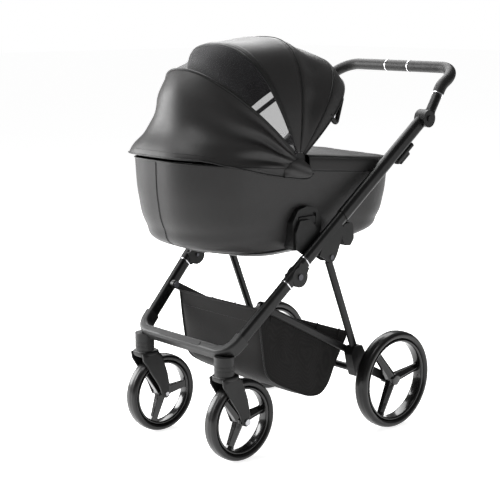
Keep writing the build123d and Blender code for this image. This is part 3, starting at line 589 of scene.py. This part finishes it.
def make_canopy():
    """The front of the hood: one sheet over its bows, with its seams, pipings and puckers."""
    angles = np.concatenate([[MOUTH, MOUTH + 0.6], np.linspace(MOUTH + 2, TOP_SEAM - 1, 24), [TOP_SEAM],
                             np.linspace(TOP_SEAM + 1, FRONT_EDGE - 1.4, 18), [FRONT_EDGE - 0.6, FRONT_EDGE]])
    grid = np.array([[arch_point(CANOPY, angle, t) for t in across(65)] for angle in angles])
    normals = grid_normals(grid)
    if normals[len(angles) // 2, 32, 2] < 0:
        normals = -normals
    for i, angle in enumerate(angles):
        groove = -0.0050 * math.exp(-((angle - TOP_SEAM) / 1.8) ** 2)
        groove -= 0.0018 * math.exp(-((angle - BOW_SEAM) / 1.2) ** 2)
        slack = max(0.0, math.sin(math.pi * min(1.0, (angle - BOW_SEAM) / (TOP_SEAM - BOW_SEAM))))
        slack_front = max(0.0, math.sin(math.pi * max(0.0, (angle - TOP_SEAM) / (FRONT_EDGE - TOP_SEAM))))
        for j in range(grid.shape[1]):
            p = grid[i, j]
            side = abs(p[0]) / 0.197
            # folds run from seam to seam, strongest on the shoulders
            folds = wobble((p[0] * 15, p[1] * 6, p[2] * 12), 1.0, 1.7) * 0.013 * slack
            folds += wobble((p[0] * 10, p[1] * 4, p[2] * 6), 1.0, 6.3) * 0.005 * slack_front
            sag = -0.004 * slack - 0.003 * slack_front
            fade = min(1.0, (1 - side) * 14 + 0.1)
            grid[i, j] += normals[i, j] * (groove + (folds + sag) * fade)
    cover = grid_object("hood_canopy", grid, [COVER, LINING])
    thicken(cover, LEATHER_T)
    subdivide(cover)
    tuck(place(cover, "hood_front", "hood_leather", "canopy"))
    pipings = (("front_piping", FRONT_EDGE + 0.3, 0.0034), ("seam_piping", TOP_SEAM, 0.0014),
               ("mouth_seam_upper", BOW_SEAM + 0.5, 0.0016), ("mouth_seam_lower", BOW_SEAM - 0.9, 0.0014),
               ("mouth_piping", MOUTH + 0.2, 0.0026))
    for name, angle, radius in pipings:
        line = arch_line(CANOPY, angle, -0.0012 if "seam" in name else 0.0)
        nodes = ("canopy_bows",) if name == "front_piping" else ()
        tuck(place(bead(f"hood_{name}", line, radius, PIPING), "hood_front", "hood_leather", *nodes))
    # grey binding tape just behind the front edge of the canopy
    band = np.linspace(FRONT_EDGE - 3.4, FRONT_EDGE - 0.2, 4)
    rows = [arch_line(CANOPY, angle, 0.0012, 49) for angle in band]
    tape = thicken(grid_object("hood_binding", rows, [GRIP]), 0.001, outward=True)
    tuck(place(tape, "hood_front", "hood_leather"))


def make_window():
    """The slack net between the canopy and the head panel."""
    first, last = WINDOW[0, 0], WINDOW[-1, 0]
    angles = np.linspace(first, last, 12)
    grid = np.array([[arch_point(WINDOW, angle, t) for t in across(49)] for angle in angles])
    for i, angle in enumerate(angles):
        slack = math.sin(math.pi * (angle - first) / (last - first))
        for j in range(grid.shape[1]):
            p = grid[i, j]
            inward = np.array([p[0], p[1] - HOOD_Y, p[2] - HOOD_Z])
            inward /= np.linalg.norm(inward)
            fade = min(1.0, (1 - abs(p[0]) / 0.2) * 10)
            sag = 0.006 + 0.004 * wobble((p[0] * 9, p[1] * 4, p[2] * 5), 1, 2.2)
            grid[i, j] -= inward * slack * fade * sag
    cloth = grid_object("window_mesh", grid, [NET])
    subdivide(cloth)
    place(cloth, "carrycot", "mesh", "mesh_window")


def zip_height(y):
    """Height of the zip that joins the head panel to the carrycot: high at the head, low at the pivots."""
    return rim_height(y) + smooth_interp(y, (-0.53, -0.472, -0.383, -0.284, -0.199, -0.119, -0.08),
                                         (0.016, 0.015, 0.001, -0.017, -0.026, -0.028, -0.020))


def zip_angle(t):
    """The fan angle at which an arch meets the zip."""
    for angle in np.arange(140.0, 262.0, 0.5):
        p = arch_point(HEAD, angle, t)
        if p[2] <= zip_height(p[1]):
            return angle
    return 262.0


def clear_of_shell(p, gap=0.0022):
    """Moves a point of the head panel out to the carrycot's outline where it hangs over the rim."""
    below = rim_height(p[1]) + 0.012 - p[2]
    if below <= 0:
        return p
    half_x, half_y, corner = RIM_OUTLINE
    dx, dy = abs(p[0]) - (half_x - corner), abs(p[1] - COT_MID) - (half_y - corner)
    if dx > 0 and dy > 0:
        distance, direction = math.hypot(dx, dy) - corner, np.array([dx, dy]) / math.hypot(dx, dy)
    elif dx - corner > dy - corner:
        distance, direction = dx - corner, np.array([1.0, 0.0])
    else:
        distance, direction = dy - corner, np.array([0.0, 1.0])
    target = gap - 0.12 * max(0.0, rim_height(p[1]) - p[2])
    weight = min(1.0, below / 0.012)
    push = (target - distance) * weight
    signs = np.array([math.copysign(1, p[0]), math.copysign(1, p[1] - COT_MID)])
    return np.array([p[0] + signs[0] * direction[0] * push, p[1] + signs[1] * direction[1] * push, p[2]])


def head_grid(rows=34, cols=81):
    """The head panel before its folds, from its bow down to the zip."""
    grid = np.zeros((rows, cols, 3))
    for j, t in enumerate(across(cols)):
        last = zip_angle(t)
        for i, f in enumerate(np.linspace(0, 1, rows)):
            grid[i, j] = arch_point(HEAD, HEAD_RIB + (last - HEAD_RIB) * f, t)
    return grid


def make_tail(side, s):
    """The end of the head panel that covers the hood's pivot and runs to a rounded point behind it."""
    rows = []
    for y in np.linspace(-0.215, -0.1035, 20):
        top = smooth_interp(y, (-0.215, -0.19, -0.165, -0.145, -0.127, -0.113, -0.1035),
                            (0.822, 0.842, 0.850, 0.8465, 0.8365, 0.823, 0.803))
        low = min(max(zip_height(y), zip_height(-0.119) + 9 * max(0.0, y + 0.119) ** 1.5 * 0.6), top - 0.004)
        row = []
        for v in np.linspace(0, 1, 10):
            z = top + (low - top) * v
            close = 0.126 * max(0.0, rim_height(y) - z)
            bulge = 0.0042 * math.sin(math.pi * v) ** 0.7 * min(1.0, (y + 0.216) / 0.02)
            crease = 0.0012 * math.sin(z * 260 + y * 90)
            row.append((s * (0.2088 - close * 0.6 + bulge + crease), y, z))
        rows.append(row)
    tail = grid_object(f"head_panel_tail_{side}", rows, [COVER, LINING])
    thicken(tail, LEATHER_T)
    subdivide(tail)
    place(tail, "carrycot", "hood_leather")
    edge = [row[-1] for row in rows] + rows[-1][::-1][1:]
    place(bead(f"tail_piping_{side}", edge, 0.0020, PIPING), "carrycot", "hood_leather")


def make_head_panel():
    """The panel over the head, with folds that fan out from the pivots and a flared hem at the zip."""
    grid = head_grid()
    normals = grid_normals(grid)
    if normals[10, grid.shape[1] // 2, 2] < 0:
        normals = -normals
    rows, cols = grid.shape[:2]
    for i in range(rows):
        f = i / (rows - 1)
        for j in range(cols):
            p = grid[i, j]
            reach = math.hypot(p[1] - HOOD_Y, p[2] - HOOD_Z)
            angle = math.degrees(math.atan2(p[2] - HOOD_Z, p[1] - HOOD_Y)) % 360
            on_side = np.clip((abs(p[0]) - 0.06) / 0.09, 0, 1) * np.clip((0.44 - reach) / 0.22, 0, 1)
            near_edge = min(1.0, f * 6) * min(1.0, (1 - f) * 5)
            turn = (angle - HEAD_RIB) / 17.0 + 0.5 * wobble(p, 6, 4.4) + 2.2 * reach
            depth = 0.0072 * (0.65 + 0.6 * wobble(p, 5, 9.0)) * np.clip((reach - 0.03) / 0.06, 0, 1)
            folds = depth * math.sin(2 * math.pi * turn) * on_side * near_edge
            swell = 0.004 * wobble(p, 7, 8.0) * near_edge
            flare = 0.010 * np.clip((f - 0.72) / 0.28, 0, 1) ** 1.6 * np.clip((reach - 0.10) / 0.15, 0, 1)
            hollow = -0.007 * math.exp(-((f - 0.62) / 0.20) ** 2) * np.clip((reach - 0.15) / 0.15, 0, 1)
            grid[i, j] = p + normals[i, j] * (folds + swell + hollow)
            sideways = np.array([p[0], p[1] - COT_MID, 0])
            grid[i, j] += sideways / max(np.linalg.norm(sideways), 1e-9) * flare
            grid[i, j] = clear_of_shell(grid[i, j])
    panel = grid_object("head_panel_cover", grid, [COVER, LINING])
    thicken(panel, LEATHER_T)
    subdivide(panel)
    place(panel, "carrycot", "hood_leather", "head_panel", "hood_pivots")
    edge = [tuple(p) for p in grid[0][2:-2]]
    place(bead("window_front_piping", edge, 0.0034, PIPING), "carrycot", "hood_leather", "head_bow")
    hem = grid[-1]
    place(bead("zip_tape", [tuple(p) for p in hem], 0.0026, PIPING), "carrycot", "hood_leather")
    above = grid[-3] + normals[-3] * 0.0004
    place(stitches("zip_stitches", above, THREAD), "carrycot", "hood_leather")
    for side, s in SIDES:
        make_tail(side, s)
        end = hem[0] if s > 0 else hem[-1]
        pull = [end, end + (0, 0.006, 0.001), end + (s * 0.001, 0.016, 0.001), end + (s * 0.001, 0.024, 0.0)]
        place(bead(f"zip_pull_{side}", [tuple(p) for p in pull], 0.0022, BLUED), "carrycot", "spring_steel")


# --- wheels --------------------------------------------------------------------------------------
def lathe(name, centre, profile, material, segments=120):
    """A ring turned about the X axis through centre from (x, r) points."""
    turns = np.linspace(0, 2 * math.pi, segments, endpoint=False)
    grid = np.array([[(centre[0] + x, centre[1] + r * math.cos(a), centre[2] + r * math.sin(a))
                      for x, r in profile] for a in turns])
    return grid_object(name, grid, [material], wrap_rows=True, wrap_cols=True)


def make_tyre(name, spec, side, body, node):
    """A tyre with two grooves round the tread and fine cross ribs on its shoulders."""
    s = 1 if side == "left" else -1
    ring, half, deep = spec["r"] - spec["section"] / 2, spec["width"] / 2, spec["section"] / 2
    ribs = 150
    angles = np.linspace(0, 2 * math.pi, 2 * ribs, endpoint=False)
    around = np.linspace(0, 2 * math.pi, 44, endpoint=False)
    grid = np.zeros((len(angles), len(around), 3))
    for i, a in enumerate(angles):
        for j, b in enumerate(around):
            cos, sin = math.cos(b), math.sin(b)
            x = half * math.copysign(abs(cos) ** 0.72, cos)
            r = deep * math.copysign(abs(sin) ** 0.86, sin)
            if sin > 0:
                shoulder = math.exp(-((abs(x) / half - 0.74) / 0.10) ** 2)
                r -= 0.0007 * shoulder * (i % 2)
                r -= 0.0009 * math.exp(-((abs(x) / half - 0.42) / 0.05) ** 2)
            out = ring + r
            grid[i, j] = (s * spec["x"] + x, spec["y"] + out * math.cos(a), spec["r"] + out * math.sin(a))
    tyre = grid_object(name, grid, [TYRE], wrap_rows=True, wrap_cols=True)
    place(tyre, body, "tyre", node)


def make_rim(name, spec, side, body, node):
    """A deep rim with a lip each side, three ridged spokes and a six-sided hub cap."""
    s = 1 if side == "left" else -1
    outer = spec["r"] - spec["section"] + 0.0008
    half = spec["width"] / 2 - 0.004
    centre = np.array([s * spec["x"], spec["y"], spec["r"]])
    lip = ((half, outer), (half + 0.0006, outer - 0.004), (half - 0.001, outer - 0.0075),
           (half - 0.004, outer - 0.0095))
    barrel = [(-x, r) for x, r in lip] + [(0, outer - 0.0105)] + list(lip[::-1])
    ring = subdivide(lathe(name, centre, barrel, RIM))
    place(ring, body, "rim", node)
    hub = spec["hub"]
    verts, faces = [], []
    for k in range(3):
        turn = SPOKE_TURN + k * 2 * math.pi / 3
        out = np.array([0, math.cos(turn), math.sin(turn)])
        sideways = np.array([0, -math.sin(turn), math.cos(turn)])
        base = len(verts)
        stations = ((hub * 0.5, 0.0150, 0.0150, 0.006), (hub + 0.010, 0.0135, 0.0135, 0.005),
                    (outer * 0.62, 0.0118, 0.0085, 0.001), (outer - 0.020, 0.0112, 0.006, -0.001),
                    (outer - 0.008, 0.0135, 0.006, -0.001))
        for reach, wide, ridge, shoulder in stations:
            section = ((-wide, -0.012), (wide, -0.012), (wide, shoulder), (wide * 0.12, ridge),
                       (-wide * 0.12, ridge), (-wide, shoulder))
            for w, x in section:
                verts.append(centre + out * reach + sideways * w + np.array([s * x, 0, 0]))
        for i in range(len(stations) - 1):
            for j in range(6):
                a, b = base + i * 6 + j, base + i * 6 + (j + 1) % 6
                faces.append((a, b, b + 6, a + 6))
        last = base + (len(stations) - 1) * 6
        faces += [tuple(base + j for j in range(6))[::-1], tuple(last + j for j in range(6))]
    spokes = mesh_object(f"{name}_spokes", verts, faces, [RIM], smooth=False)
    edge = spokes.modifiers.new("edges", "BEVEL")
    edge.width, edge.segments, edge.limit_method, edge.angle_limit = 0.0016, 2, "ANGLE", math.radians(25)
    place(spokes, body, "rim")
    cap_rows = []
    for x, r in ((-0.012, 0.9), (0.010, 0.98), (0.0155, 0.95), (0.0180, 0.86), (0.0190, 0.6), (0.0192, 0.02)):
        row = []
        for a in np.linspace(0, 2 * math.pi, 48, endpoint=False):
            six = 1 - 0.07 * (0.5 + 0.5 * math.cos(6 * (a - SPOKE_TURN)))
            reach = hub * 1.12 * r * six
            row.append(centre + np.array([s * x, reach * math.cos(a), reach * math.sin(a)]))
        cap_rows.append(row)
    cap = subdivide(grid_object(f"{name}_hub_cap", cap_rows, [RIM], wrap_cols=True))
    place(cap, body, "rim")


def make_wheels():
    for side, _ in SIDES:
        make_tyre(f"rear_tyre_tread_{side}", REAR, side, f"rear_wheel_{side}", f"rear_tyre_{side}")
        make_rim(f"rear_wheel_rim_{side}", REAR, side, f"rear_wheel_{side}", f"rear_rim_{side}")
        make_tyre(f"front_tyre_tread_{side}", FRONT, side, f"front_wheel_{side}", f"front_tyre_{side}")
        make_rim(f"front_wheel_rim_{side}", FRONT, side, f"front_wheel_{side}", f"front_rim_{side}")


# --- caster forks --------------------------------------------------------------------------------
CROWN_Y = -0.414                          # middle of the crown, under the swivel
LEG = [(-0.449, 0.256), (-0.428, 0.2615), (-0.392, 0.2600), (-0.376, 0.2430), (-0.356, 0.185),
       (-0.3475, 0.140), (-0.3470, 0.119), (-0.3510, 0.1085), (-0.361, 0.1045), (-0.371, 0.1085),
       (-0.3760, 0.120), (-0.389, 0.150), (-0.427, 0.206), (-0.446, 0.236)]
LEG_SPAN, LEG_THICK = 0.033, 0.0085


def rounded(value):
    """Turns a circle's sine or cosine into that of a rounded square."""
    return math.copysign(abs(value) ** 0.6, value)


def make_forks():
    """Two swept legs under a rounded crown, joined across the wheel."""
    count = len(LEG)
    for side, s in SIDES:
        verts, faces = [], []
        middle_y, middle_z = np.mean(LEG, axis=0)
        for way in (1, -1):
            base = len(verts)
            for depth, shrink in ((0.0, 1.0), (LEG_THICK * 0.7, 1.0), (LEG_THICK, 0.86)):
                for y, z in LEG:
                    x = s * FRONT["x"] + way * (LEG_SPAN - LEG_THICK + depth)
                    verts.append((x, middle_y + (y - middle_y) * shrink, middle_z + (z - middle_z) * shrink))
            for ring in range(2):
                for k in range(count):
                    a, b = base + ring * count + k, base + ring * count + (k + 1) % count
                    faces.append((a, b, b + count, a + count)[::way])
            faces.append(tuple(range(base, base + count))[::-way])
            faces.append(tuple(range(base + 2 * count, base + 3 * count))[::way])
        legs = mesh_object(f"fork_legs_{side}", verts, faces, [MOULDING], smooth=False)
        edge = legs.modifiers.new("edges", "BEVEL")
        edge.width, edge.segments, edge.limit_method, edge.angle_limit = 0.0022, 3, "ANGLE", math.radians(35)
        place(legs, f"caster_{side}", "moulding", f"caster_fork_{side}")
        rows = []
        for z, half_x, half_y in ((0.2432, 0.024, 0.026), (0.2445, 0.0325, 0.0325), (0.252, 0.0338, 0.0345),
                                  (0.2585, 0.0338, 0.0345), (0.2622, 0.0310, 0.0320), (0.2632, 0.022, 0.022)):
            turns = np.linspace(0, 2 * math.pi, 48, endpoint=False)
            rows.append([(s * FRONT["x"] + half_x * rounded(math.cos(a)),
                          CROWN_Y + half_y * rounded(math.sin(a)), z) for a in turns])
        crown = grid_object(f"fork_crown_{side}", rows, [MOULDING], wrap_cols=True)
        place(subdivide(crown), f"caster_{side}", "moulding")


# --- basket --------------------------------------------------------------------------------------
BASKET_HALF = 0.176
BASKET_FRONT, BASKET_REAR = (-0.284, 0.424), (0.085, 0.296)      # (y, z) of its upper edges
BASKET_LINE = np.array([BASKET_FRONT, (-0.268, 0.300), (-0.250, 0.222), (-0.200, 0.186),
                        (-0.140, 0.156), (-0.074, 0.128), (-0.030, 0.126), (-0.008, 0.142),
                        (0.030, 0.210), (0.060, 0.257), BASKET_REAR])


def basket_line(count):
    """Evenly spaced (y, z) points down the front, along the bottom and up the back."""
    steps = np.concatenate([[0], np.cumsum(np.linalg.norm(np.diff(BASKET_LINE, axis=0), axis=1))])
    at = np.linspace(0, steps[-1], count)
    return np.array([[smooth_interp(s, steps, BASKET_LINE[:, axis]) for axis in (0, 1)] for s in at])


def basket_top(y):
    """Height of the basket's side hem, which runs straight from the front to the back."""
    return np.interp(y, (BASKET_FRONT[0], BASKET_REAR[0]), (BASKET_FRONT[1], BASKET_REAR[1]))


def make_basket():
    """A fabric bag of three sheets, hung from the struts by straps."""
    line = basket_line(48)
    count, wide = len(line), 29
    wrap = np.zeros((count, wide, 3))
    for i, (y, z) in enumerate(line):
        f = i / (count - 1)
        inward = np.array([0, -0.10 - y, 0.30 - z])
        inward /= np.linalg.norm(inward)
        for j, x in enumerate(np.linspace(-1, 1, wide)):
            rounding = 0.004 * max(0.0, abs(x) - 0.9) / 0.1
            belly = 0.006 * (1 - x * x) * math.sin(math.pi * f)
            crease = 0.0035 * wobble((x * 2.2, f * 9, 1.0), 1.0, 2.0) * (1 - x**4) * math.sin(math.pi * f)
            wrap[i, j] = np.array([x * BASKET_HALF, y, z]) + inward * (rounding - belly * 0.6 + crease)
    front = grid_object("basket_front_and_base", wrap, [BASKET])
    thicken(front, 0.0015)
    subdivide(front)
    place(front, "brace", "basket_fabric", "basket")
    pieces = [front]
    top = [(y, basket_top(y)) for y in np.linspace(BASKET_FRONT[0], BASKET_REAR[0], count)]
    for side, s in SIDES:
        panel = np.zeros((17, count, 3))
        for j in range(count):
            for i, v in enumerate(np.linspace(0, 1, 17)):
                y, z = np.array(top[j]) * (1 - v) + line[j] * v
                u = j / (count - 1)
                belly = math.sin(math.pi * v) * math.sin(math.pi * u)
                crease = wobble((y * 14, z * 9, s * 3.0), 1.0, 7.0) * 0.004
                crease += wobble((y * 30, z * 12, s), 1, 1.0) * 0.0015
                panel[i, j] = (s * (BASKET_HALF + 0.004 * belly + crease * belly), y, z)
        cloth = grid_object(f"basket_side_{side}", panel, [BASKET])
        thicken(cloth, 0.0015)
        subdivide(cloth)
        place(cloth, "brace", "basket_fabric")
        outline = [(s * (BASKET_HALF + 0.0005), y, z) for y, z in line[::2]]
        edge = bead(f"basket_piping_{side}", outline, 0.0024, PIPING)
        place(edge, "brace", "basket_fabric")
        outline = [(s * (BASKET_HALF + 0.0012), y, z) for y, z in top[::3]]
        hem = bead(f"basket_hem_{side}", outline, 0.0032, BASKET)
        place(hem, "brace", "basket_fabric")
        loops = []
        for k, y in enumerate(np.linspace(-0.24, 0.04, 4)):
            z = basket_top(y)
            strap = [(s * 0.1775, y, z - 0.03), (s * 0.181, y, z - 0.005), (s * 0.1845, y, z + 0.006)]
            loop = bead(f"basket_strap_{side}_{k + 1}", strap, 0.0022, BASKET)
            place(loop, "brace", "basket_fabric")
            loops.append(loop)
        pieces += [cloth, edge, hem] + loops
    for name, row in (("front", 0), ("rear", -1)):
        y, z = line[row]
        outline = [(x, y, z) for x in np.linspace(-BASKET_HALF, BASKET_HALF, 9)]
        hem = bead(f"basket_hem_{name}", outline, 0.0034, BASKET)
        place(hem, "brace", "basket_fabric")
        pieces.append(hem)
    y, z = line[3]
    seam = [(x, y - 0.002, z) for x in np.linspace(-BASKET_HALF, BASKET_HALF, 30)]
    sewn = place(stitches("basket_front_stitches", seam, THREAD), "brace", "basket_fabric")
    pieces.append(sewn)
    for piece in pieces:
        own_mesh(piece)


# --- materials of the CAD nodes ------------------------------------------------------------------
NODE_MATERIALS = {
    "frame_metal": FRAME, "moulding": MOULDING, "inlay": MOULDING, "silver_trim": SILVER, "fastener": STEEL,
    "grip_leather": GRIP, "spring_steel": BLUED, "hood_leather": COVER, "mesh": NET, "lining": LINING,
    "basket_fabric": BASKET, "tyre": TYRE, "rim": RIM}
OWN_MATERIALS = {"front_crossbar": CASTING, "side_grips": GRIP,
                 "pivot_bolts": BLUED, "strut_pins": BLUED, "arm_pins": BLUED}


def dress_nodes():
    """Gives every CAD node its own material, or else its slot's."""
    slots = {row["node"]: row["material_slot"] for row in frame["record"]["subparts"]}
    for name, obj in frame["nodes"].items():
        mat = OWN_MATERIALS.get(name, NODE_MATERIALS[slots[name]])
        for index in range(len(obj.material_slots)):
            obj.material_slots[index].material = mat


# --- stage, lights and camera --------------------------------------------------------------------
def aim(obj, target):
    obj.rotation_euler = (Vector(target) - obj.location).to_track_quat("-Z", "Y").to_euler()


def area_light(name, where, target, size, watts):
    light = bpy.data.lights.new(name, "AREA")
    light.shape, light.size, light.energy = "DISK", size, watts
    obj = bpy.data.objects.new(name, light)
    obj.location = where
    scene.collection.objects.link(obj)
    aim(obj, target)


def make_stage():
    floor = mesh_object("floor", [(-30, -30, 0), (30, -30, 0), (30, 30, 0), (-30, 30, 0)], [(0, 1, 2, 3)], [])
    mat, tree, shader, where = new_material("floor_paper", (0.90, 0.90, 0.90), 0.8)
    shader.inputs["Emission Color"].default_value = (1, 1, 1, 1)
    shader.inputs["Emission Strength"].default_value = 0.84
    link(tree, add_bump(tree, noise_node(tree, where, 30.0), 0.02, 0.001), shader.inputs["Normal"])
    floor.data.materials.append(mat)
    world = bpy.data.worlds.new("studio")
    world.use_nodes = True
    tree = world.node_tree
    back = tree.nodes["Background"]
    back.inputs["Color"].default_value = (1, 1, 1, 1)
    path = tree.nodes.new("ShaderNodeLightPath")
    seen = tree.nodes.new("ShaderNodeMapRange")
    seen.inputs["To Min"].default_value = 0.16
    seen.inputs["To Max"].default_value = 1.0
    link(tree, path.outputs["Is Camera Ray"], seen.inputs["Value"])
    link(tree, seen.outputs["Result"], back.inputs["Strength"])
    scene.world = world
    area_light("left_box", (-2.9, -1.9, 1.6), (0, -0.2, 0.6), 2.2, 170)
    area_light("back_box", (-1.9, 1.2, 3.0), (0, 0, 0.8), 3.2, 125)
    area_light("top_box", (-0.6, -1.0, 3.6), (0, 0, 0.5), 2.6, 90)


def make_camera():
    camera = bpy.data.cameras.new("camera")
    camera.lens, camera.sensor_width = 90.5, 36.0
    obj = bpy.data.objects.new("camera", camera)
    obj.location = (2.730, -2.637, 1.264)
    scene.collection.objects.link(obj)
    aim(obj, (-0.353, 0.164, 0.466))
    scene.camera = obj


make_shell()
make_mattress()
make_apron()
make_canopy()
make_window()
make_head_panel()
make_wheels()
make_forks()
make_basket()
dress_nodes()
make_stage()
make_camera()
scene.view_settings.view_transform = "Standard"
